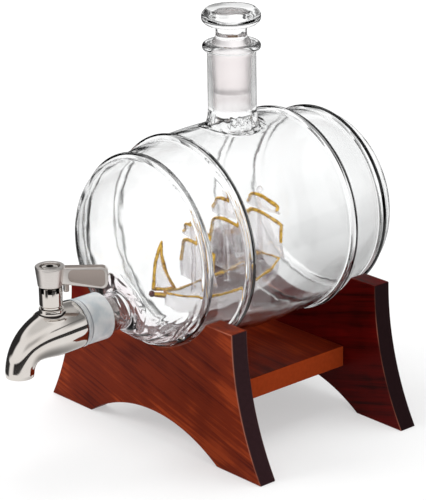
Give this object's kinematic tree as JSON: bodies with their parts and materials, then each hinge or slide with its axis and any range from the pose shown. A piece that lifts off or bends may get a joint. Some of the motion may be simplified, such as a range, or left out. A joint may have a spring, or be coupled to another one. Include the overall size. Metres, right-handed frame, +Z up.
{
  "type": "barrel decanter with tap",
  "caption": "Blown glass barrel decanter with hoops, a ground stopper, a ship inside and a quarter-turn steel tap, lying in an arched wooden stand.",
  "frame": {"origin": "on the floor, under the middle of the whole object", "axes": "+Z up, -Y out of the tap end of the barrel, +X to the right of the barrel seen from behind the tap, so that it is to the viewer's right when facing +Y"},
  "size_m": [0.1876, 0.2599, 0.2465],
  "materials": {
    "clear_glass": "clear blown borosilicate",
    "worked_glass": "clear lampworked glass with gold edges",
    "silicone": "translucent",
    "polished_steel": "mirror polished",
    "satin_steel": "satin",
    "seal_rubber": "matt",
    "red_brown_wood": "stained and lacquered",
    "dowel_wood": "bare"
  },
  "bodies": {
    "stand": {"front_panel": "red_brown_wood", "rear_panel": "red_brown_wood", "shelf_board": "red_brown_wood", "dowel_front_left": "dowel_wood", "dowel_front_right": "dowel_wood", "dowel_rear_left": "dowel_wood", "dowel_rear_right": "dowel_wood"},
    "decanter": {"glass_barrel": "clear_glass", "ship_hull": "worked_glass", "ship_post_front": "worked_glass", "ship_post_rear": "worked_glass", "ship_fore_mast": "worked_glass", "ship_main_mast": "worked_glass", "ship_mizzen_mast": "worked_glass", "ship_fore_lower_sail": "worked_glass", "ship_fore_upper_sail": "worked_glass", "ship_main_lower_sail": "worked_glass", "ship_main_upper_sail": "worked_glass", "ship_mizzen_lower_sail": "worked_glass", "ship_mizzen_upper_sail": "worked_glass", "ship_bowsprit": "worked_glass", "ship_jib": "worked_glass", "silicone_sleeve": "silicone", "tap_tailpiece": "polished_steel", "tailpiece_washer": "seal_rubber", "tap_body": "polished_steel", "tap_bonnet": "polished_steel", "stem_o_ring": "seal_rubber"},
    "lever": {"tap_lever": "satin_steel", "lever_screw": "polished_steel", "valve_plug": "polished_steel"},
    "stopper": {"glass_stopper": "clear_glass"}
  },
  "joints": [
    {"name": "barrel_lift", "type": "slide", "parent": "stand", "child": "decanter", "axis": [0, 0, 1], "range_m": [0, 0.1]},
    {"name": "stopper_lift", "type": "slide", "parent": "decanter", "child": "stopper", "axis": [0, 0, 1], "range_m": [0, 0.06]},
    {"name": "lever_turn", "type": "hinge", "parent": "decanter", "child": "lever", "pos_m": [0, -0.09805, 0.1133], "axis": [0, 0, 1], "range_deg": [-48.7, 41.3]}
  ]
}
